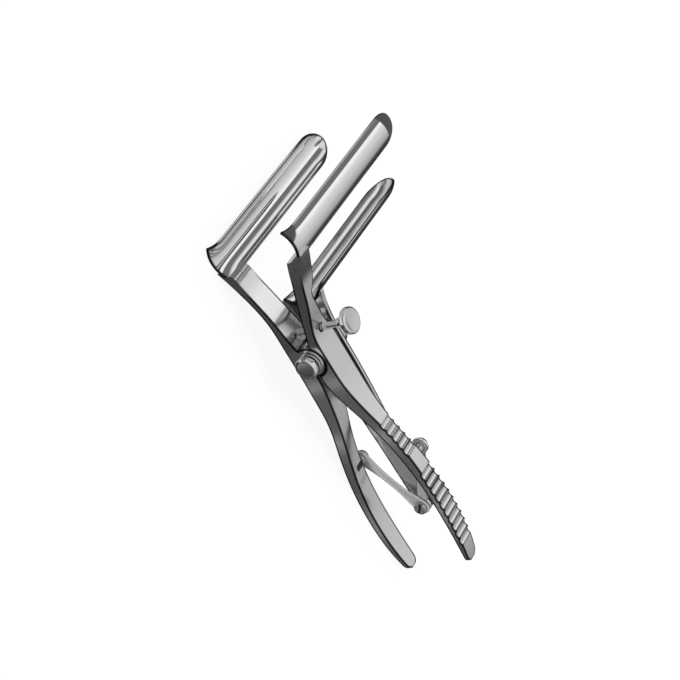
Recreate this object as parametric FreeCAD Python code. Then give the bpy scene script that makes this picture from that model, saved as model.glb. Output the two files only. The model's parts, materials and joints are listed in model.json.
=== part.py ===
import FreeCAD, Part
import math
import os

os.makedirs("parts", exist_ok=True)

# Working frame: x runs from the blades to the handles, y along the pivot axis
# towards the blade tips, z from the left lever up to the right lever.
# The pivot axis is at x = 0, z = 0, and the front face of the hub is at y = 0.
# At the end everything is tilted onto its resting points and centred.

# Clearances
GAP = 0.3
LINK_GAP = 0.2
RUN = 0.05

# Hub and pivot
HUB_WIDTH = 14.5
HUB_R = 7.2
PIVOT_R = 2.5
KNOB_R = 5.3
KNOB_T = 5.0
SPACER_R = 6.0
NUT_R = 7.0
NUT_T = 4.2

# Blades
BLADE_CHORD = 16.0
BLADE_DEPTH = 4.7
BLADE_WALL = 1.3
FLARE_HALF = 11.0
LEFT_BASE_Y = 4.5
RIGHT_BASE_Y = 1.8
BLADE_TIP_Y = 110.0
SIDE_BLADE_X = -52.7
SIDE_BLADE_Z = 19.2
SIDE_BLADE_TURN = 13.0

# Third lever
BAR_T = 2.5
BAR_Y = HUB_WIDTH + 2.5
BACK_BLADE_X = -23.5
BACK_TIP_Y = 112.0
SLOT_END = 30.0
SLOT_SIDE = 0.55

# Links and their screws
JOINT_X = 92.5
PIN_X = 61.3
PIN_Z = 16.0
LINK_T = 1.4
LINK_HALF = 2.4
EYE_R = 3.9
SCREW_R = 1.6
LOOSE_EYE = 0.9
BUTTON_R = 3.6
BUTTON_T = 2.0
SCREW_DEPTH = 5.0
GRIP_INSET = 3.0
GRIP_TOP_Y = HUB_WIDTH - GRIP_INSET

# Spreading screw
ROD_X = -12.2
ROD_R = 1.6
ROD_STANDOFF = 0.45
DISC_R = 6.0
DISC_T = 3.0
DISC_Z = 25.0
COLLAR_LENGTH = 5.0
COLLAR_FRONT_R = 2.6
COLLAR_BACK_R = 3.4

# Handle end of the levers
TIP_X = 119.2
TIP_Z = 16.3

# Ridges across the outer face of the right grip; the left grip is smooth
FRONT_PITCH = 3.75
FRONT_RIDGES = 5
FRONT_START = 40.5
REAR_PITCH = 4.15
REAR_RIDGES = 10
REAR_START = TIP_X - 49.7
GROOVE_R = 2.2
GROOVE_DEPTH = 0.75

# Side view of one lever: (x, height of the outer face, height of the inner face)
SHARED_SIDE = [
    (-12.0, 9.4, 4.8),
    (0.0, 9.0, 1.4),
    (12.0, 9.2, 0.9),
    (24.0, 10.4, 3.4),
    (36.0, 12.7, 6.9),
    (48.0, 16.0, 10.6),
    (60.0, 18.7, 13.7),
    (TIP_X - 35.2, 20.9, 17.2),
    (TIP_X - 23.2, 20.7, 17.4),
    (TIP_X - 13.2, 19.8, 16.9),
    (TIP_X - 6.2, 18.6, 16.2),
    (TIP_X - 0.8, 17.3, 15.5),
]

# The right arm is thicker than the left one and carries the spreading screw
LEFT_NECK = [
    (-49.5, 23.6, 21.4),
    (-44.0, 20.9, 15.9),
    (-38.0, 18.0, 14.3),
    (-30.0, 14.2, 11.2),
    (-20.0, 10.6, 7.2),
]
RIGHT_NECK = [
    (-49.5, 24.1, 16.4),
    (-44.0, 21.2, 14.1),
    (-38.0, 17.9, 12.2),
    (-30.0, 15.3, 9.6),
    (-20.0, 12.0, 6.8),
]
LEFT_SIDE = LEFT_NECK + SHARED_SIDE
RIGHT_SIDE = RIGHT_NECK + SHARED_SIDE

# Shoulder cut out of the inside of the right arm where it meets its blade
SHOULDER_X = -52.2
SHOULDER_Z = 17.0
SHOULDER_R = 4.4

# Plan of one lever: (x, inset of the front edge, inset of the back edge) from the hub's faces
SHARED_PLAN = [
    (-7.0, 0.0, 0.1),
    (0.0, 0.0, 0.0),
    (14.0, 0.2, 0.2),
    (27.0, 1.6, 1.7),
    (40.0, GRIP_INSET, GRIP_INSET),
    (62.0, GRIP_INSET, GRIP_INSET),
    (TIP_X - 41.2, 2.4, 2.4),
    (TIP_X - 23.2, 2.2, 2.2),
    (TIP_X - 11.2, 2.6, 2.6),
    (TIP_X - 4.4, 3.1, 3.1),
]
LEFT_PLAN = [
    (-51.0, 4.6, -2.1),
    (-40.5, 4.1, -2.0),
    (-33.0, 3.3, -1.5),
    (-25.0, 2.1, -0.4),
    (-15.0, 0.6, 0.2),
]
RIGHT_PLAN = [
    (-51.0, 1.8, 4.4),
    (-44.0, 1.8, 3.9),
    (-36.5, 1.7, 3.0),
    (-32.0, 1.5, 5.3),
    (-29.3, 1.4, 7.6),
    (-26.0, 1.2, 7.0),
    (-20.0, 0.8, 4.8),
    (-14.0, 0.4, 2.4),
]
LEFT_PLAN = LEFT_PLAN + SHARED_PLAN
RIGHT_PLAN = RIGHT_PLAN + SHARED_PLAN

# Half width of the third lever along its length
BAR_PLAN = [
    (-23.4, 11.0),
    (-17.0, 9.2),
    (-9.0, 8.0),
    (6.0, 7.7),
    (33.0, 7.0),
    (58.0, 5.3),
    (80.0, 4.4),
]

V = FreeCAD.Vector
Y_AXIS = V(0, 1, 0)
ORIGIN = V(0, 0, 0)


def curve(points):
    line = Part.BSplineCurve()
    line.interpolate(points)
    return line.toShape()


def rod(x, z, radius, y0, y1):
    return Part.makeCylinder(radius, y1 - y0, V(x, y0, z), Y_AXIS)


def face(edges):
    return Part.Face(Part.Wire(Part.__sortEdges__(edges)))


def circle(radius, y, z):
    return Part.Wire(Part.makeCircle(radius, V(0, y, z), Y_AXIS))


def soften(shape, radius, keep):
    edges = [e for e in shape.Edges if keep(e)]
    return shape.makeFillet(radius, edges)


# Blade in its own frame: chord along x, outward along -z, chord centre at 0
def blade_body(base_y, tip_y, inset):
    depth = BLADE_DEPTH - inset
    arc_r = (BLADE_CHORD ** 2 / 4 + BLADE_DEPTH ** 2) / (2 * BLADE_DEPTH)
    flare_r = (FLARE_HALF ** 2 + BLADE_DEPTH ** 2) / (2 * BLADE_DEPTH)
    grow = flare_r - arc_r
    steps = [(0.0, 1.0), (2.5, 0.50), (6.0, 0.20), (11.0, 0.06), (17.0, 0.0), (24.0, 0.0)]
    rings = []
    for along, share in steps:
        radius = arc_r + grow * share - inset
        rings.append(circle(radius, base_y + along, radius - depth))
    flare = Part.makeLoft(rings, True, False)
    straight_y = base_y + steps[-1][0]
    dome_y = tip_y - BLADE_CHORD / 2
    radius = arc_r - inset
    tube = rod(0, radius - depth, radius, straight_y, dome_y)
    dome = Part.makeSphere(radius, V(0, dome_y, radius - depth))
    return flare.fuse([tube, dome])


def blade(base_y, tip_y):
    outer = blade_body(base_y, tip_y, 0.0)
    inner = blade_body(base_y - 0.01, tip_y, BLADE_WALL)
    size = 4 * BLADE_CHORD
    below = Part.makeBox(size, tip_y + size, size, V(-size / 2, base_y, -size))
    solid = outer.common(below)
    shell = solid.cut(inner)
    rims = soften(shell, BLADE_WALL * 0.42, long_rim)
    return rims, solid


def long_rim(edge):
    box = edge.BoundBox
    return box.YLength > 3 and box.ZLength < 0.05


def placed(shape, x, z, turn):
    copy = shape.copy()
    copy.rotate(ORIGIN, Y_AXIS, turn)
    copy.translate(V(x, 0, z))
    return copy


def mirrored(shape):
    return shape.mirror(ORIGIN, V(0, 0, 1))


# Both levers are made with z pointing outward, then one is mirrored
def lever_bar(stations, plan_stations):
    top = [V(x, 0, outer) for x, outer, inner in stations]
    low = [V(x, 0, inner) for x, outer, inner in stations]
    tip = Part.Arc(top[-1], V(TIP_X, 0, TIP_Z), low[-1]).toShape()
    start = Part.makeLine(top[0], low[0])
    side = face([curve(top), tip, curve(low), start]).extrude(V(0, 2 * HUB_WIDTH, 0))
    front = [V(x, a, 0) for x, a, b in plan_stations]
    back = [V(x, HUB_WIDTH - b, 0) for x, a, b in plan_stations]
    end = Part.Arc(front[-1], V(TIP_X, HUB_WIDTH / 2, 0), back[-1]).toShape()
    close = Part.makeLine(front[0], back[0])
    plan = face([curve(front), end, curve(back), close]).extrude(V(0, 0, 2 * TIP_Z + HUB_R))
    return side.common(plan)


def between(value, start, stop, first, last):
    return first + (last - first) * (value - start) / (stop - start)


def heights(stations, x):
    for (x0, outer0, inner0), (x1, outer1, inner1) in zip(stations, stations[1:]):
        if x0 <= x <= x1:
            return between(x, x0, x1, outer0, outer1), between(x, x0, x1, inner0, inner1)
    return stations[-1][1:]


def ridge_cutters():
    cutters = []
    front = [FRONT_START + k * FRONT_PITCH for k in range(FRONT_RIDGES)]
    rear = [REAR_START + k * REAR_PITCH for k in range(REAR_RIDGES)]
    for x in front + rear:
        z = heights(SHARED_SIDE, x)[0] + GROOVE_R - GROOVE_DEPTH
        cutters.append(rod(x, z, GROOVE_R, -1, HUB_WIDTH + 1))
    return cutters


# Each hub is half as thick as the lever; ear_y is the span of its own ear
def lever(stations, plan_stations, ear_y, other_y, blade_solid):
    bar = lever_bar(stations, plan_stations)
    room = rod(0, 0, HUB_R + GAP, other_y[0], other_y[1])
    ear = rod(0, 0, HUB_R, ear_y[0], ear_y[1])
    body = bar.cut(room).fuse(ear)
    body = body.cut(rod(0, 0, PIVOT_R + RUN, -1, HUB_WIDTH + 1))
    body = body.cut(blade_solid)
    pin_hole = rod(PIN_X, PIN_Z, SCREW_R, GRIP_TOP_Y - SCREW_DEPTH, HUB_WIDTH + 1)
    return body.cut(pin_hole).removeSplitter()


def keep_main(shape):
    return max(shape.Solids, key=lambda s: s.Volume)


def left_side_blade(base_y):
    pair = blade(base_y, BLADE_TIP_Y)
    return [placed(s, SIDE_BLADE_X, -SIDE_BLADE_Z, -SIDE_BLADE_TURN) for s in pair]


left_blade, left_solid = left_side_blade(LEFT_BASE_Y)
right_blade, right_solid = [mirrored(s) for s in left_side_blade(RIGHT_BASE_Y)]

# Left lever below the axis, with the front ear; right lever above, with the back ear
mid = HUB_WIDTH / 2
front_ear = (0.0, mid - GAP / 2)
back_ear = (mid + GAP / 2, HUB_WIDTH)
front_room = (-1.0, mid + GAP / 2)
back_room = (mid - GAP / 2, HUB_WIDTH + 1)
left_lever = lever(LEFT_SIDE, LEFT_PLAN, front_ear, back_room, mirrored(left_solid))
left_lever = keep_main(mirrored(left_lever))
right_lever = lever(RIGHT_SIDE, RIGHT_PLAN, back_ear, front_room, right_solid)
tap = Part.makeCylinder(ROD_R + RUN, DISC_Z, V(ROD_X, mid, 0), V(0, 0, 1))
shoulder = rod(SHOULDER_X, SHOULDER_Z, SHOULDER_R, 0, 2 * HUB_WIDTH)
right_lever = keep_main(right_lever.cut([tap, shoulder] + ridge_cutters()))

# Third lever and its blade
shell, solid = blade(BAR_Y, BACK_TIP_Y)
third_blade = placed(shell, BACK_BLADE_X, 0, -90)
third_solid = placed(solid, BACK_BLADE_X, 0, -90)
up = [V(x, BAR_Y, h) for x, h in BAR_PLAN] + [V(JOINT_X, BAR_Y, EYE_R)]
down = [V(p.x, p.y, -p.z) for p in up]
end = Part.Arc(up[-1], V(JOINT_X + EYE_R, BAR_Y, 0), down[-1]).toShape()
root = Part.makeLine(up[0], down[0])
third_lever = face([curve(up), end, curve(down), root]).extrude(V(0, BAR_T, 0))
slot_half = PIVOT_R + SLOT_SIDE
slot = Part.makeBox(SLOT_END + 3, BAR_T, 2 * slot_half, V(-3, BAR_Y, -slot_half))
for x in (-3, SLOT_END):
    slot = slot.fuse(rod(x, 0, slot_half, BAR_Y, BAR_Y + BAR_T))
third_lever = third_lever.cut(slot)
third_lever = third_lever.cut(rod(JOINT_X, 0, SCREW_R, BAR_Y, BAR_Y + BAR_T))
third_lever = keep_main(third_lever.cut(third_solid))

# Pivot
bar_back = BAR_Y + BAR_T
pivot_screw = rod(0, 0, PIVOT_R, -GAP, bar_back + GAP + NUT_T)
pivot_knob = rod(0, 0, KNOB_R, -GAP - KNOB_T, -GAP)
pivot_knob = soften(pivot_knob, 0.6, lambda e: e.BoundBox.YLength < 0.01)
pivot_spacer = rod(0, 0, SPACER_R, HUB_WIDTH, BAR_Y - GAP)
pivot_spacer = pivot_spacer.cut(rod(0, 0, PIVOT_R + RUN, HUB_WIDTH, BAR_Y))
pivot_nut = rod(0, 0, NUT_R, bar_back + GAP, bar_back + GAP + NUT_T)
pivot_nut = soften(pivot_nut, 0.8, lambda e: e.BoundBox.YLength < 0.01)
pivot_nut = pivot_nut.cut(rod(0, 0, PIVOT_R, bar_back, bar_back + 2 * NUT_T))

# Spreading screw: its tip stops just short of the left arm
rod_tip = ROD_STANDOFF - heights(LEFT_SIDE, ROD_X + ROD_R)[1]
disc_back = DISC_Z - DISC_T / 2
collar_z = disc_back - COLLAR_LENGTH
spread_rod = Part.makeCylinder(ROD_R, disc_back - rod_tip, V(ROD_X, mid, rod_tip), V(0, 0, 1))
collar_foot = V(ROD_X, mid, collar_z)
collar = Part.makeCone(COLLAR_FRONT_R, COLLAR_BACK_R, COLLAR_LENGTH, collar_foot, V(0, 0, 1))
spread_collar = collar.cut(spread_rod)
spread_knob = Part.makeCylinder(DISC_R, DISC_T, V(ROD_X, mid, disc_back), V(0, 0, 1))
spread_knob = soften(spread_knob, 0.7, lambda e: e.BoundBox.ZLength < 0.01)


# Flat link between the two screws, eye_hole is the radius at the centre joint
def link(y, sign, eye_hole):
    a = V(PIN_X, y, sign * PIN_Z)
    b = V(JOINT_X, y, 0)
    along = b.sub(a)
    across = V(-along.z, 0, along.x)
    across.multiply(LINK_HALF / across.Length)
    corners = [a.add(across), b.add(across), b.sub(across), a.sub(across), a.add(across)]
    strip = Part.Face(Part.makePolygon(corners)).extrude(V(0, LINK_T, 0))
    ends = [rod(p.x, p.z, EYE_R, y, y + LINK_T) for p in (a, b)]
    body = strip.fuse(ends)
    body = body.cut(rod(a.x, a.z, SCREW_R + RUN, y, y + LINK_T))
    return body.cut(rod(b.x, b.z, eye_hole, y, y + LINK_T)).removeSplitter()


right_link_y = BAR_Y - LINK_GAP - LINK_T
left_link_y = right_link_y - LINK_GAP - LINK_T
left_link = link(left_link_y, -1, SCREW_R + RUN)
right_link = link(right_link_y, 1, SCREW_R + LOOSE_EYE)


def button_screw(z, link_y):
    head_y = link_y + LINK_T + LINK_GAP
    head = rod(PIN_X, z, BUTTON_R, head_y, head_y + BUTTON_T)
    head = soften(head, 0.9, lambda e: e.BoundBox.YMin > head_y + 1)
    return head.fuse(rod(PIN_X, z, SCREW_R, GRIP_TOP_Y - SCREW_DEPTH, head_y)).removeSplitter()


left_link_screw = button_screw(-PIN_Z, left_link_y)
right_link_screw = button_screw(PIN_Z, right_link_y)


def washer(z, link_y):
    ring = rod(PIN_X, z, EYE_R, GRIP_TOP_Y, link_y - LINK_GAP)
    return ring.cut(rod(PIN_X, z, SCREW_R, GRIP_TOP_Y, link_y))


left_link_spacer = washer(-PIN_Z, left_link_y)
right_link_spacer = washer(PIN_Z, right_link_y)

# Centre joint
head_y = left_link_y - LINK_GAP - BUTTON_T
centre_head = rod(JOINT_X, 0, BUTTON_R, head_y, head_y + BUTTON_T)
centre_head = soften(centre_head, 0.5, lambda e: e.BoundBox.YMax < head_y + 0.1)
centre_shaft = rod(JOINT_X, 0, SCREW_R, head_y + BUTTON_T, bar_back + BUTTON_T)
centre_screw = centre_head.fuse(centre_shaft).removeSplitter()
centre_nut = rod(JOINT_X, 0, BUTTON_R, bar_back, bar_back + BUTTON_T)
centre_nut = centre_nut.cut(rod(JOINT_X, 0, SCREW_R, bar_back, bar_back + BUTTON_T))

NODES = {
    "left_lever": left_lever,
    "left_blade": left_blade,
    "right_lever": right_lever,
    "right_blade": right_blade,
    "third_lever": third_lever,
    "third_blade": third_blade,
    "pivot_screw": pivot_screw,
    "pivot_knob": pivot_knob,
    "pivot_spacer": pivot_spacer,
    "pivot_nut": pivot_nut,
    "spread_rod": spread_rod,
    "spread_collar": spread_collar,
    "spread_knob": spread_knob,
    "left_link": left_link,
    "right_link": right_link,
    "left_link_screw": left_link_screw,
    "right_link_screw": right_link_screw,
    "left_link_spacer": left_link_spacer,
    "right_link_spacer": right_link_spacer,
    "centre_screw": centre_screw,
    "centre_nut": centre_nut,
}

# Rest: the left blade's back and the left grip touch the table
flare_r = (FLARE_HALF ** 2 + BLADE_DEPTH ** 2) / (2 * BLADE_DEPTH)
flare_drop = (flare_r - BLADE_DEPTH) * math.cos(math.radians(SIDE_BLADE_TURN))
blade_low = SIDE_BLADE_Z - flare_drop + flare_r
grip_x, grip_low, grip_inner = max(SHARED_SIDE, key=lambda station: station[1])
tilt = math.degrees(math.atan2(blade_low - grip_low, grip_x - SIDE_BLADE_X))

for shape in NODES.values():
    shape.rotate(ORIGIN, Y_AXIS, tilt)

points = Part.makeCompound(list(NODES.values())).tessellate(0.02)[0]
low = [min(p[k] for p in points) for k in range(3)]
high = [max(p[k] for p in points) for k in range(3)]
centre = V(-(low[0] + high[0]) / 2, -(low[1] + high[1]) / 2, -low[2])
print("tilt", tilt, "shift", centre)

for name, shape in NODES.items():
    shape.translate(centre)
    shape.exportStep("parts/" + name + ".step")
    print(name, shape.isValid(), len(shape.Solids), round(shape.Volume, 1))
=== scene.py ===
import json
import math

import bpy
from mathutils import Matrix, Vector


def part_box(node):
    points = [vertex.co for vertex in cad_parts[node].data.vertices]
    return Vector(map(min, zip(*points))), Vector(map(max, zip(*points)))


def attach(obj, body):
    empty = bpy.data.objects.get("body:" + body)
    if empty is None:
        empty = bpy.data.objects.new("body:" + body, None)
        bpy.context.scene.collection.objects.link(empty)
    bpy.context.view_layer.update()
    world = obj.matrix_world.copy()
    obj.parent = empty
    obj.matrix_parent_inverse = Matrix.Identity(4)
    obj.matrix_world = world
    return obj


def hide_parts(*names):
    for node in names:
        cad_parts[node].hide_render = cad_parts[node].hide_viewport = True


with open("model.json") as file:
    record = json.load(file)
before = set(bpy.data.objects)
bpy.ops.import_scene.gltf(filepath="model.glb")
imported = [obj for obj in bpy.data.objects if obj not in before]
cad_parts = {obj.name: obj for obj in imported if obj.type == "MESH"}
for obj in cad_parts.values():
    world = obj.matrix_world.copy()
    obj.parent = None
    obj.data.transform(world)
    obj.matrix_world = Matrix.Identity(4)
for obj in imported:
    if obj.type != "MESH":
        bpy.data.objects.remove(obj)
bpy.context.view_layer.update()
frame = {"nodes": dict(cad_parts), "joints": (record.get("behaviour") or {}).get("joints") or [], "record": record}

MM = 0.001
NODES = frame["nodes"]

# Camera, fitted to the photograph: its place and the directions of its picture
CAMERA_PLACE = Vector((-0.39033, -0.71424, 0.61993))
CAMERA_RIGHT = Vector((0.48756, 0.40981, 0.77093))
CAMERA_UP = Vector((-0.78848, 0.58588, 0.18722))
LENS = 118.83
SENSOR = 36.0
CLIP_START = 0.01
CLIP_END = 20.0


def make_camera():
    data = bpy.data.cameras.new("camera")
    data.lens = LENS
    data.sensor_width = SENSOR
    data.clip_start = CLIP_START
    data.clip_end = CLIP_END
    camera = bpy.data.objects.new("camera", data)
    back = CAMERA_RIGHT.cross(CAMERA_UP).normalized()
    up = back.cross(CAMERA_RIGHT).normalized()
    turn = Matrix((CAMERA_RIGHT.normalized(), up, back)).transposed()
    camera.matrix_world = Matrix.Translation(CAMERA_PLACE) @ turn.to_4x4()
    bpy.context.scene.collection.objects.link(camera)
    bpy.context.scene.camera = camera


make_camera()
bpy.context.scene.view_settings.view_transform = "Standard"


# The node tree of a material or of the world, with what the trees below have in common
class Tree:
    def __init__(self, block):
        block.use_nodes = True
        self.tree = block.node_tree
        self.tree.nodes.clear()

    def add(self, kind, **settings):
        node = self.tree.nodes.new(kind)
        for name, value in settings.items():
            setattr(node, name, value)
        return node

    # An output is joined to the socket, anything else is set on it
    def feed(self, value, socket):
        if isinstance(value, bpy.types.NodeSocket):
            self.tree.links.new(value, socket)
        else:
            socket.default_value = value

    def split(self, vector):
        node = self.add("ShaderNodeSeparateXYZ")
        self.feed(vector, node.inputs[0])
        return tuple(node.outputs)

    def math(self, operation, *values):
        node = self.add("ShaderNodeMath", operation=operation)
        for value, socket in zip(values, node.inputs):
            self.feed(value, socket)
        return node.outputs[0]

    # Stops are (place, brightness), with straight runs between them
    def ramp(self, value, stops):
        node = self.add("ShaderNodeValToRGB")
        node.color_ramp.interpolation = "LINEAR"
        elements = node.color_ramp.elements
        while len(elements) > 1:
            elements.remove(elements[-1])
        elements[0].position = stops[0][0]
        for place, level in stops[1:]:
            elements.new(place)
        for element, (place, level) in zip(elements, stops):
            element.color = (level, level, level, 1.0)
        self.feed(value, node.inputs[0])
        return node.outputs[0]

    def remap(self, value, given=(0.0, 1.0), wanted=(0.0, 1.0), kind="LINEAR"):
        node = self.add("ShaderNodeMapRange", interpolation_type=kind)
        names = ("From Min", "From Max", "To Min", "To Max")
        for name, level in zip(names, (*given, *wanted)):
            node.inputs[name].default_value = level
        self.feed(value, node.inputs["Value"])
        return node.outputs[0]

    def noise(self, place, scale, detail):
        node = self.add("ShaderNodeTexNoise")
        node.inputs["Scale"].default_value = scale
        node.inputs["Detail"].default_value = detail
        self.feed(place, node.inputs["Vector"])
        return node.outputs["Fac"]

    def mix(self, share, first, second, blend="MIX"):
        node = self.add("ShaderNodeMix", data_type="RGBA", blend_type=blend)
        for name, value in (("Factor", share), ("A", first), ("B", second)):
            self.feed(value, node.inputs[name])
        return node.outputs["Result"]

    def mix_shaders(self, share, first, second):
        node = self.add("ShaderNodeMixShader")
        for value, socket in zip((share, first, second), node.inputs):
            self.feed(value, socket)
        return node.outputs[0]

    def seen_by_camera(self):
        return self.add("ShaderNodeLightPath").outputs["Is Camera Ray"]

    def end(self, kind, shader):
        self.feed(shader, self.add(kind).inputs["Surface"])


def grey(level):
    return level, level, level, 1.0


# Studio light: long light and dark panels that run along the blades.
# Each stop is (angle round the Y axis from +X towards +Z, in degrees, and brightness)
PANELS = [
    (-180, 0.12),
    (-168, 0.14),
    (-150, 0.50),
    (-125, 0.72),
    (-95, 0.50),
    (-78, 0.10),
    (-60, 0.05),
    (-20, 0.05),
    (4, 0.07),
    (12, 0.20),
    (20, 0.42),
    (60, 0.70),
    (88, 0.86),
    (106, 1.15),
    (114, 1.10),
    (118, 0.18),
    (143, 0.20),
    (151, 0.66),
    (159, 0.98),
    (168, 0.94),
    (175, 0.14),
    (180, 0.12),
]
# The panels end before the far pole, in the dark
FAR_DARK = 0.10
FAR_FADE = (0.775, 0.80)
# In front they give way to dark cloth with cards in it. Stops are (direction, brightness):
# a wide and a narrow low card side by side along X, cut to a band of heights, and above them
# a mid grey card at the height of the eye and a light ceiling
NEAR_FADE = (0.05, -0.15)
LOW_CARD = [
    (-1.0, 0.10),
    (-0.85, 0.70),
    (-0.15, 0.85),
    (-0.05, 0.06),
    (0.30, 0.03),
    (0.36, 0.05),
    (0.405, 0.07),
    (0.43, 0.32),
    (0.46, 0.36),
    (0.485, 0.09),
    (1.0, 0.06),
]
LOW_BAND = [
    (-1.0, 0.0),
    (-0.78, 0.0),
    (-0.70, 1.0),
    (-0.52, 1.0),
    (-0.44, 0.0),
    (1.0, 0.0),
]
CEILING = [
    (-1.0, 0.03),
    (-0.42, 0.03),
    (-0.28, 0.30),
    (0.05, 0.38),
    (0.15, 0.55),
    (0.50, 0.80),
    (1.0, 0.90),
]


# A direction runs from -1 to 1, and the places on a ramp from 0 to 1
def direction_ramp(tree, value, stops):
    share = tree.math("MULTIPLY_ADD", value, 0.5, 0.5)
    return tree.ramp(share, [((place + 1.0) / 2.0, level) for place, level in stops])


def studio_world():
    world = bpy.data.worlds.new("studio")
    bpy.context.scene.world = world
    tree = Tree(world)
    x, y, z = tree.split(tree.add("ShaderNodeTexCoord").outputs["Generated"])
    angle = tree.math("ARCTAN2", z, x)
    turn = tree.math("MULTIPLY_ADD", angle, 0.5 / math.pi, 0.5)
    panels = tree.ramp(turn, [((degrees + 180.0) / 360.0, level) for degrees, level in PANELS])
    low_card = direction_ramp(tree, x, LOW_CARD)
    low_band = direction_ramp(tree, z, LOW_BAND)
    near = tree.math("MULTIPLY_ADD", low_card, low_band, direction_ramp(tree, z, CEILING))
    light = tree.mix(tree.remap(y, FAR_FADE, kind="SMOOTHSTEP"), panels, grey(FAR_DARK))
    light = tree.mix(tree.remap(y, NEAR_FADE, kind="SMOOTHSTEP"), light, near)
    studio = tree.add("ShaderNodeBackground")
    tree.feed(light, studio.inputs["Color"])
    white = tree.add("ShaderNodeBackground")
    tree.feed(grey(1.0), white.inputs["Color"])
    shown = tree.mix_shaders(tree.seen_by_camera(), studio.outputs[0], white.outputs[0])
    tree.end("ShaderNodeOutputWorld", shown)


studio_world()


# Polished steel: fine polishing lines and faint smudges
SMUDGE_SCALE = 90.0
SMUDGE_DETAIL = 5.0
SMUDGE_ROUGHNESS = (0.65, 1.45)
SMUDGE_SHADE = 0.94
LINE_DETAIL = 3.0
LINE_STRENGTH = 0.05
LINE_HEIGHT = 0.02 * MM
# A painted dark reflection: a dark line inside each edge, where a rounded edge would mirror dark surroundings.
# Stops are (share of the metal behind the surface that is
#  solid, brightness)
EDGE_PAINTED_REFLECTION = [
    (0.0, 0.05),
    (0.80, 0.05),
    (0.95, 1.0),
    (1.0, 1.0),
]
# Painted shade in grooves and creases, darker where less of the view is open. Stops are (share of the view that is
# open, brightness)
CREASE_REACH = 1.6 * MM
CREASE_PAINTED_SHADE = [
    (0.0, 0.15),
    (0.66, 0.20),
    (0.92, 1.0),
    (1.0, 1.0),
]
SHADE_SAMPLES = 16
# The brazed root of each lever, as shares of its length, stays free of the painted edge reflection and crease
# shade
ROOT_FADE = (0.045, 0.085)
# On the blades the painted dark edge reflection is widest at the tip and at the base. Stops are (share of the
#  blade's length, reach in mm)
RIM_REACH = [
    (0.0, 1.0),
    (0.05, 0.95),
    (0.10, 0.60),
    (0.74, 0.60),
    (0.86, 1.0),
    (1.0, 1.0),
]
# Each finish: brightness, roughness, scale of the polishing lines along X, Y and Z, reach of
#  the painted dark edge reflection in mm, and metallic
FINISHES = {
    "lever_steel": (0.77, 0.16, (300, 2500, 2500), 1.10, 1.0),
    "blade_steel": (0.80, 0.06, (2500, 200, 2500), RIM_REACH, 1.0),
    "screw_steel": (0.50, 0.14, (1800, 1800, 1800), 0.30, 1.0),
    "knob_steel": (0.74, 0.12, (1800, 1800, 1800), 0.50, 1.0),
    "link_satin": (0.80, 0.30, (600, 600, 600), 0.35, 0.55),
}
# Steel is a little bluer than grey
BLUE_LIFT = 0.005


def steel(name, bright, roughness, lines, edge, metallic):
    material = bpy.data.materials.new(name)
    tree = Tree(material)
    where = tree.add("ShaderNodeTexCoord")
    length_x, length_y = tree.split(where.outputs["Generated"])[:2]
    shader = tree.add("ShaderNodeBsdfPrincipled")
    shader.inputs["Metallic"].default_value = metallic

    smudge = tree.noise(where.outputs["Object"], SMUDGE_SCALE, SMUDGE_DETAIL)
    spread = [roughness * share for share in SMUDGE_ROUGHNESS]
    tree.feed(tree.remap(smudge, wanted=spread), shader.inputs["Roughness"])
    colour = (bright, bright, bright + BLUE_LIFT)
    dull = (*[part * SMUDGE_SHADE for part in colour], 1.0)
    base = tree.mix(smudge, dull, (*colour, 1.0))

    stretch = tree.add("ShaderNodeMapping")
    stretch.inputs["Scale"].default_value = lines
    tree.feed(where.outputs["Object"], stretch.inputs["Vector"])
    bump = tree.add("ShaderNodeBump")
    bump.inputs["Strength"].default_value = LINE_STRENGTH
    bump.inputs["Distance"].default_value = LINE_HEIGHT
    tree.feed(tree.noise(stretch.outputs[0], 1.0, LINE_DETAIL), bump.inputs["Height"])
    tree.feed(bump.outputs[0], shader.inputs["Normal"])

    painted_shade_share = tree.remap(length_x, ROOT_FADE) if name == "lever_steel" else 1.0
    if edge is RIM_REACH:
        edge_reach = tree.math("MULTIPLY", tree.ramp(length_y, RIM_REACH), MM)
    else:
        edge_reach = edge * MM
    # Painted shade multiplied into the base colour: a dark reflection line inside each edge and shade in grooves
    # and creases, faded out at a lever's root
    shades = (
        (True, edge_reach, EDGE_PAINTED_REFLECTION),
        (False, CREASE_REACH, CREASE_PAINTED_SHADE),
    )
    for inside, distance, stops in shades:
        nearby = tree.add("ShaderNodeAmbientOcclusion", samples=SHADE_SAMPLES, inside=inside)
        nearby.only_local = True
        tree.feed(distance, nearby.inputs["Distance"])
        shade = tree.ramp(nearby.outputs["AO"], stops)
        base = tree.mix(painted_shade_share, base, shade, "MULTIPLY")
    tree.feed(base, shader.inputs["Base Color"])
    tree.end("ShaderNodeOutputMaterial", shader.outputs[0])
    return material


STEELS = {name: steel(name, *finish) for name, finish in FINISHES.items()}


def finish_nodes():
    for part in frame["record"]["subparts"]:
        mesh = NODES[part["node"]].data
        mesh.materials.clear()
        finish = "link_satin" if part["node"] == "right_link" else part["material_slot"]
        mesh.materials.append(STEELS[finish])


finish_nodes()


# Directions of the instrument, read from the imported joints: along the levers, along the pivot and
# from the left lever up to the right one. The origin is on the pivot, at the front of the hub.
JOINTS = {joint["name"]: joint for joint in frame["joints"]}
RISE = Vector(JOINTS["spread_slide"]["axis"])
FORWARD = Vector((0.0, 1.0, 0.0))
BACKWARD = -FORWARD
ALONG = FORWARD.cross(RISE)
HUB_GAP = 0.3
PIVOT = Vector(JOINTS["lever_hinge"]["pos_m"])
HUB_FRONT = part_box("pivot_knob")[1].y + HUB_GAP * MM
ORIGIN = Vector((PIVOT.x, HUB_FRONT, PIVOT.z))


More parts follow.
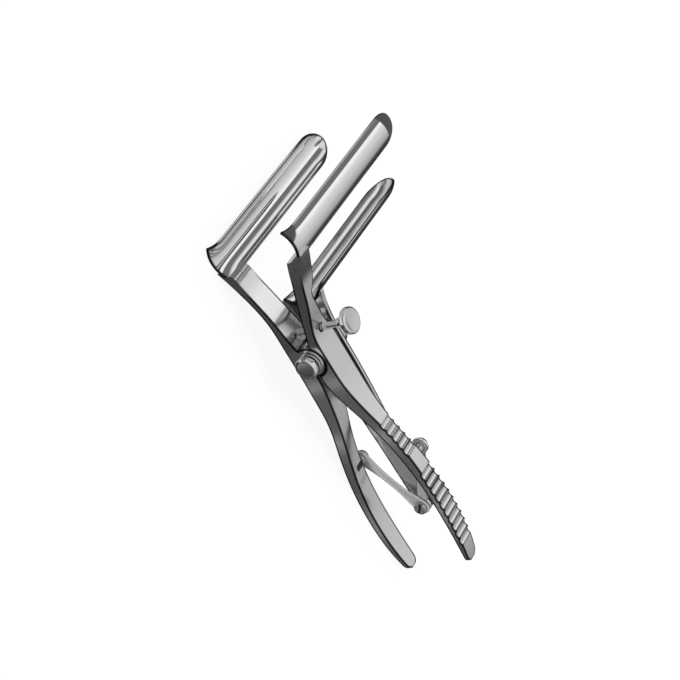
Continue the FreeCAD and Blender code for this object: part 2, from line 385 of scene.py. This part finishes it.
def at(x, y, z):
    return ORIGIN + (ALONG * x + FORWARD * y + RISE * z) * MM


def basis(x_axis, y_axis, z_axis, place):
    turn = Matrix((x_axis, y_axis, z_axis)).transposed()
    return Matrix.Translation(place) @ turn.to_4x4()


def smooth(mesh):
    mesh.polygons.foreach_set("use_smooth", [True] * len(mesh.polygons))


def new_piece(name, vertices, faces, body, node, slot_name, finish=None):
    mesh = bpy.data.meshes.new(name)
    mesh.from_pydata(vertices, [], faces)
    mesh.materials.append(STEELS[finish or slot_name])
    smooth(mesh)
    piece = bpy.data.objects.new(name, mesh)
    bpy.context.scene.collection.objects.link(piece)
    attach(piece, body)
    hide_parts(node)
    return piece


# Turn a piece's modifiers into its mesh
def settle(piece):
    bpy.context.view_layer.update()
    graph = bpy.context.evaluated_depsgraph_get()
    mesh = bpy.data.meshes.new_from_object(piece.evaluated_get(graph))
    piece.modifiers.clear()
    piece.data = mesh


# Faces of a skin through rows of points. A closed row's last point joins its first.
def skin_faces(rows, points, closed):
    faces = []
    for row in range(rows - 1):
        for k in range(points if closed else points - 1):
            a = row * points + k
            b = row * points + (k + 1) % points
            faces.append((a, b, b + points, a + points))
    return faces


# The same for closed rows, with a face over each end
def capped_faces(rows, points):
    first = tuple(reversed(range(points)))
    last = tuple((rows - 1) * points + k for k in range(points))
    return skin_faces(rows, points, True) + [first, last]


# Blades: half tubes that end in a long dome and flare at the base
BLADE_CHORD = 16.0
BLADE_DEPTH = 4.7
BLADE_WALL = 1.3
FLARE_HALF = 10.25
FLARE_LENGTH = 17.0
FLARE_POWER = 4
BLADE_R = (BLADE_CHORD ** 2 / 4 + BLADE_DEPTH ** 2) / (2 * BLADE_DEPTH)
FLARE_R = (FLARE_HALF ** 2 + BLADE_DEPTH ** 2) / (2 * BLADE_DEPTH)
TIP_LENGTH = 13.0
# The tip's outline stays just inside the dome, where its height still has a square root
TIP_INSET = 0.9999
TIP_STEPS = 60
SIDE_STEPS = 60
# The steps along a side are short at the flare
SIDE_POWER = 1.5
ACROSS_STEPS = 18
WELD_REACH = 0.01
RIM_WIDTH = BLADE_WALL * 0.42
RIM_SEGMENTS = 4
RIM_ANGLE = math.radians(50)


def tube_radius(along):
    share = max(0.0, 1.0 - along / FLARE_LENGTH) ** FLARE_POWER
    return BLADE_R + (FLARE_R - BLADE_R) * share


def blade_height(x, along, dome):
    past = max(0.0, along - dome) * BLADE_CHORD / 2 / TIP_LENGTH
    radius = tube_radius(along)
    return -(math.sqrt(radius ** 2 - x ** 2 - past ** 2) - (radius - BLADE_DEPTH))


# Outline of the blade seen from inside: up one side, round the tip and down the other
def blade_outline(dome):
    side = []
    for k in range(SIDE_STEPS):
        along = dome * (k / SIDE_STEPS) ** SIDE_POWER
        radius = tube_radius(along)
        half = math.sqrt(radius ** 2 - (radius - BLADE_DEPTH) ** 2)
        side.append((half, along))
    tip = []
    for k in range(TIP_STEPS + 1):
        turn = math.pi * k / TIP_STEPS
        half = BLADE_CHORD / 2 * TIP_INSET * math.cos(turn)
        tip.append((half, dome + TIP_LENGTH * TIP_INSET * math.sin(turn)))
    return side + tip + [(-x, along) for x, along in reversed(side)]


def make_blade(node, body, base_y, tip_y, middle, turn):
    dome = tip_y - base_y - TIP_LENGTH
    x_axis = ALONG * math.cos(turn) - RISE * math.sin(turn)
    z_axis = ALONG * math.sin(turn) + RISE * math.cos(turn)
    place = basis(x_axis, FORWARD, z_axis, at(middle[0], base_y, middle[1]))
    outline = blade_outline(dome)
    points = []
    for x, along in outline:
        centre = min(along, dome)
        for step in range(ACROSS_STEPS + 1):
            share = 1.0 - step / ACROSS_STEPS
            px = x * share
            py = centre + (along - centre) * share
            points.append(place @ (Vector((px, py, blade_height(px, py, dome))) * MM))
    faces = skin_faces(len(outline), ACROSS_STEPS + 1, False)
    piece = new_piece(node + "_shell", points, faces, body, node, "blade_steel")
    weld = piece.modifiers.new("weld", "WELD")
    weld.merge_threshold = WELD_REACH * MM
    wall = piece.modifiers.new("wall", "SOLIDIFY")
    wall.thickness = BLADE_WALL * MM
    wall.offset = -1.0
    wall.use_even_offset = True
    rim = piece.modifiers.new("rim", "BEVEL")
    rim.width = RIM_WIDTH * MM
    rim.segments = RIM_SEGMENTS
    rim.limit_method = "ANGLE"
    rim.angle_limit = RIM_ANGLE
    settle(piece)
    smooth(piece.data)


# The side blades' turn round their own length, and the middles of the blades across it
SIDE_TURN = math.radians(13.0)
SIDE_ALONG = -52.7
SIDE_RISE = 19.2
THIRD_ALONG = -23.5
# Where each blade starts, and where the blades end
LEFT_BASE_Y = 4.9
RIGHT_BASE_Y = 2.2
THIRD_BASE_Y = 17.4
SIDE_TIP_Y = 109.0
THIRD_TIP_Y = 111.6

for node, body, base_y, tip_y, middle, turn in (
    ("left_blade", "left", LEFT_BASE_Y, SIDE_TIP_Y, (SIDE_ALONG, -SIDE_RISE), -SIDE_TURN),
    ("right_blade", "right", RIGHT_BASE_Y, SIDE_TIP_Y, (SIDE_ALONG, SIDE_RISE), math.pi + SIDE_TURN),
    ("third_blade", "third", THIRD_BASE_Y, THIRD_TIP_Y, (THIRD_ALONG, 0.0), -math.pi / 2),
):
    make_blade(node, body, base_y, tip_y, middle, turn)


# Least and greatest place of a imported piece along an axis, in mm from the origin
def reach(node, axis):
    piece = NODES[node]
    places = [(piece.matrix_world @ v.co - ORIGIN).dot(axis) / MM for v in piece.data.vertices]
    return min(places), max(places)


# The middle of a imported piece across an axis, level with the origin along it
def middle_of(node, axis):
    place = ORIGIN.copy()
    for other in (ALONG, FORWARD, RISE):
        if abs(other.dot(axis)) < 0.5:
            place += other * (sum(reach(node, other)) / 2 * MM)
    return place


# Turned parts: a profile of (radius, height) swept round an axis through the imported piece
TURNED_STEPS = 64


def turned(node, body, slot_name, axis, profile, thread=None):
    place = middle_of(node, axis)
    side = ALONG if axis is not ALONG else RISE
    other = axis.cross(side)
    vertices = []
    for radius, height in profile:
        for k in range(TURNED_STEPS):
            share = k / TURNED_STEPS
            wide = radius
            if thread and thread["start"] < height < thread["stop"]:
                phase = (height / thread["pitch"] + share) % 1.0
                wide -= thread["depth"] * (1.0 - abs(2.0 * phase - 1.0))
            angle = 2 * math.pi * share
            offset = side * math.cos(angle) + other * math.sin(angle)
            vertices.append(place + (offset * wide + axis * height) * MM)
    faces = capped_faces(len(profile), TURNED_STEPS)
    return new_piece(node + "_turned", vertices, faces, body, node, slot_name)


# Profile of a disc from start to stop, with rounded edges and a hollow in the face at stop
ROUND_STEPS = 6
FACE_RINGS = (0.95, 0.85, 0.7, 0.5, 0.3, 0.05)


def disc(radius, start, stop, start_round, stop_round, dish=0.0):
    turns = [math.pi / 2 * k / ROUND_STEPS for k in range(ROUND_STEPS + 1)]
    profile = []
    for turn in turns:
        wide = radius - start_round + start_round * math.sin(turn)
        profile.append((wide, start + start_round - start_round * math.cos(turn)))
    for turn in turns:
        wide = radius - stop_round + stop_round * math.cos(turn)
        profile.append((wide, stop - stop_round + stop_round * math.sin(turn)))
    for share in FACE_RINGS:
        profile.append(((radius - stop_round) * share, stop - dish * (1.0 - share ** 2)))
    return profile


# A slot across the head of a screw, cut by a box. Place is the middle of the head's face.
SLOT_WIDTH = 0.8
SLOT_HALF = 10.0
SLOT_ABOVE = 2.0
BOX_FACES = [
    (0, 1, 3, 2),
    (4, 6, 7, 5),
    (0, 4, 5, 1),
    (2, 3, 7, 6),
    (0, 2, 6, 4),
    (1, 5, 7, 3),
]


def cut_slot(piece, place, axis, depth, turn):
    side = ALONG * math.cos(turn) + RISE * math.sin(turn)
    other = axis.cross(side)
    vertices = []
    for a in (-SLOT_HALF, SLOT_HALF):
        for b in (-SLOT_WIDTH / 2, SLOT_WIDTH / 2):
            for c in (-depth, SLOT_ABOVE):
                vertices.append(place + (side * a + other * b + axis * c) * MM)
    mesh = bpy.data.meshes.new("cutter")
    mesh.from_pydata(vertices, [], BOX_FACES)
    cutter = bpy.data.objects.new("cutter", mesh)
    bpy.context.scene.collection.objects.link(cutter)
    away = piece.modifiers.new("away", "BOOLEAN")
    away.operation = "DIFFERENCE"
    away.object = cutter
    settle(piece)
    bpy.data.objects.remove(cutter)


# Pivot knob: a thick button with a full rounded front edge
PIVOT_KNOB_R = 5.3
PIVOT_KNOB_ROUNDS = (0.5, 1.3)
PIVOT_KNOB_DISH = 0.1

back, front = (-v for v in reversed(reach("pivot_knob", FORWARD)))
profile = disc(PIVOT_KNOB_R, back, front, *PIVOT_KNOB_ROUNDS, PIVOT_KNOB_DISH)
turned("pivot_knob", "pivot", "knob_steel", BACKWARD, profile)

# Spreading rod: thread below, plain shank above. The foot is given as (radius, height). Rings in
# fine steps carry the thread: they start at RINGS_FROM and cover the length less RINGS_LESS
ROD_R = 1.6
ROD_FOOT = [
    (0.4, 0.0),
    (1.0, 0.15),
    (ROD_R, 0.75),
]
RING_STEP = 0.12
RINGS_FROM = 0.8
RINGS_LESS = 1.0
THREAD_FROM = 0.7
THREAD_TO = 11.0
THREAD_PITCH = 0.8
THREAD_DEPTH = 0.28

low, high = reach("spread_rod", RISE)
rings = int((high - low - RINGS_LESS) / RING_STEP)
profile = [(radius, low + height) for radius, height in ROD_FOOT]
profile += [(ROD_R, low + RINGS_FROM + RING_STEP * k) for k in range(rings)]
profile.append((ROD_R, high))
thread = {"start": low + THREAD_FROM, "stop": THREAD_TO, "pitch": THREAD_PITCH, "depth": THREAD_DEPTH}
turned("spread_rod", "spreader", "screw_steel", RISE, profile, thread)

# Spreading collar: a neck, as (radius, height), that flares up to the disc
COLLAR_NECK = 0.35
COLLAR_FOOT = [
    (1.65, 0.0),
    (2.05, 0.1),
    (2.25, COLLAR_NECK),
]
COLLAR_R = 2.3
COLLAR_FLARE = 1.5
COLLAR_POWER = 2.2
COLLAR_STEPS = 16

low, high = reach("spread_collar", RISE)
profile = [(radius, low + height) for radius, height in COLLAR_FOOT]
for k in range(1, COLLAR_STEPS + 1):
    share = k / COLLAR_STEPS
    height = low + COLLAR_NECK + (high - low - COLLAR_NECK) * share
    profile.append((COLLAR_R + COLLAR_FLARE * share ** COLLAR_POWER, height))
turned("spread_collar", "spreader", "knob_steel", RISE, profile)

# Spreading knob: a flat disc with a hollow face
SPREAD_KNOB_R = 6.0
SPREAD_KNOB_ROUNDS = (0.6, 0.9)
SPREAD_KNOB_DISH = 0.25

low, high = reach("spread_knob", RISE)
profile = disc(SPREAD_KNOB_R, low, high, *SPREAD_KNOB_ROUNDS, SPREAD_KNOB_DISH)
turned("spread_knob", "spreader_knob", "knob_steel", RISE, profile)

# Screws: a shaft with a chamfered foot, and a head with a slot
SHAFT_R = 1.6
SHAFT_FOOT_R = 1.2
HEAD_T = 1.9


def shaft(foot, top, chamfer):
    return [(SHAFT_FOOT_R, foot), (SHAFT_R, foot + chamfer), (SHAFT_R, top - HEAD_T)]


# Screws of the links, with a button head, and their spacers
LINK_CHAMFER = 0.4
LINK_HEAD_R = 2.9
LINK_HEAD_ROUNDS = (0.2, 1.3)
LINK_SLOT_DEPTH = 0.7
LINK_SLOT_TURN = 0.6
SPACER_R = 2.6
SPACER_ROUNDS = (0.3, 0.3)

for side in ("left", "right"):
    node = side + "_link_screw"
    foot, top = reach(node, FORWARD)
    profile = shaft(foot, top, LINK_CHAMFER)
    profile += disc(LINK_HEAD_R, top - HEAD_T, top, *LINK_HEAD_ROUNDS)
    screw = turned(node, side, "screw_steel", FORWARD, profile)
    face = middle_of(node, FORWARD) + FORWARD * top * MM
    cut_slot(screw, face, FORWARD, LINK_SLOT_DEPTH, LINK_SLOT_TURN)
    node = side + "_link_spacer"
    foot, top = reach(node, FORWARD)
    turned(node, side, "screw_steel", FORWARD, disc(SPACER_R, foot, top, *SPACER_ROUNDS))

# Centre screw: a low slotted head in front
CENTRE_CHAMFER = 0.3
CENTRE_HEAD_R = 3.0
CENTRE_HEAD_ROUNDS = (0.2, 0.7)
CENTRE_HEAD_LOWER = 0.4
CENTRE_SLOT_DEPTH = 0.6
CENTRE_SLOT_TURN = math.radians(-35.0)

top, foot = (-v for v in reach("centre_screw", FORWARD))
face_height = top - CENTRE_HEAD_LOWER
profile = shaft(foot, top, CENTRE_CHAMFER)
profile += disc(CENTRE_HEAD_R, top - HEAD_T, face_height, *CENTRE_HEAD_ROUNDS)
screw = turned("centre_screw", "third", "screw_steel", BACKWARD, profile)
face = middle_of("centre_screw", FORWARD) + BACKWARD * face_height * MM
cut_slot(screw, face, BACKWARD, CENTRE_SLOT_DEPTH, CENTRE_SLOT_TURN)

# Left link: a flat bar with rounded edges that widens into its two eyes
PIN_X = 61.3
PIN_Z = 16.0
JOINT_X = 92.5
LINK_EYES = (4.0, 3.9)
LINK_HALF = 2.0
LINK_FLARE = 1.9
LINK_FLARE_REACH = 8.0
# At its ends the bar thins to an edge: least half width in mm and least share of the thickness,
# squared. The power sets how late the thickness gives way
LINK_END_HALF = 0.02
LINK_END_SHARE = 0.02
LINK_END_POWER = 6
LINK_STEPS = 90
SECTION_STEPS = 32
SECTION_POWER = 2.4


def half_width(place, length):
    wide = LINK_END_HALF
    for centre, radius in ((0.0, LINK_EYES[0]), (length, LINK_EYES[1])):
        off = abs(place - centre)
        if off < radius:
            wide = max(wide, math.sqrt(radius ** 2 - off ** 2))
        if 0.0 < place < length:
            wide = max(wide, LINK_HALF + LINK_FLARE * math.exp(-(off / LINK_FLARE_REACH) ** 2))
    return wide


# Cosine or sine for a section that lies between an ellipse and a rectangle
def boxy(value):
    return math.copysign(abs(value) ** (2 / SECTION_POWER), value)


def rounded_link(node, body, start, stop):
    front, back = reach(node, FORWARD)
    run = Vector((stop[0] - start[0], 0.0, stop[1] - start[1]))
    length = run.length
    along = (ALONG * run.x + RISE * run.z).normalized()
    across = FORWARD.cross(along)
    origin = at(start[0], (front + back) / 2, start[1])
    whole = length + sum(LINK_EYES)
    vertices = []
    for k in range(LINK_STEPS + 1):
        place = -LINK_EYES[0] + whole * (0.5 - 0.5 * math.cos(math.pi * k / LINK_STEPS))
        past = max(-place / LINK_EYES[0], (place - length) / LINK_EYES[1], 0.0)
        full = 1.0 - min(past, 1.0) ** LINK_END_POWER
        deep = (back - front) / 2 * math.sqrt(max(LINK_END_SHARE, full))
        wide = half_width(place, length)
        for m in range(SECTION_STEPS):
            turn = 2 * math.pi * m / SECTION_STEPS
            point = along * place + across * (wide * boxy(math.cos(turn)))
            point += FORWARD * (deep * boxy(math.sin(turn)))
            vertices.append(origin + point * MM)
    faces = capped_faces(LINK_STEPS + 1, SECTION_STEPS)
    new_piece(node + "_bar", vertices, faces, body, node, "lever_steel", "link_satin")


rounded_link("left_link", "toggle_left", (PIN_X, -PIN_Z), (JOINT_X, 0.0))


# Floor: pale, nearly white to the camera, with the shadow of the part kept on it
FLOOR_SIZE = 3.0
FLOOR_COLOUR = 0.85
FLOOR_GLOW = 1.02
FLOOR_SHOWN = 0.88


def make_floor():
    material = bpy.data.materials.new("floor")
    tree = Tree(material)
    paint = tree.add("ShaderNodeBsdfDiffuse")
    paint.inputs["Color"].default_value = grey(FLOOR_COLOUR)
    glow = tree.add("ShaderNodeEmission")
    glow.inputs["Strength"].default_value = FLOOR_GLOW
    share = tree.math("MULTIPLY", tree.seen_by_camera(), FLOOR_SHOWN)
    shown = tree.mix_shaders(share, paint.outputs[0], glow.outputs[0])
    tree.end("ShaderNodeOutputMaterial", shown)
    mesh = bpy.data.meshes.new("floor")
    half = FLOOR_SIZE / 2
    corners = [(-half, -half, 0), (half, -half, 0), (half, half, 0), (-half, half, 0)]
    mesh.from_pydata(corners, [], [(0, 1, 2, 3)])
    mesh.materials.append(material)
    floor = bpy.data.objects.new("floor", mesh)
    bpy.context.scene.collection.objects.link(floor)
    floor.visible_glossy = False


make_floor()

# A wide soft lamp above the part
LAMP_PLACE = Vector((-0.1, 0.1, 1.2))
LAMP_TARGET = Vector((0.0, 0.0, 0.02))
LAMP_SIZE = 1.0
LAMP_POWER = 9.0


def make_lamp():
    data = bpy.data.lights.new("key_light", "AREA")
    data.shape = "DISK"
    data.size = LAMP_SIZE
    data.energy = LAMP_POWER
    lamp = bpy.data.objects.new("key_light", data)
    turn = (LAMP_TARGET - LAMP_PLACE).to_track_quat("-Z", "Y").to_matrix()
    lamp.matrix_world = Matrix.Translation(LAMP_PLACE) @ turn.to_4x4()
    lamp.visible_glossy = False
    bpy.context.scene.collection.objects.link(lamp)


make_lamp()
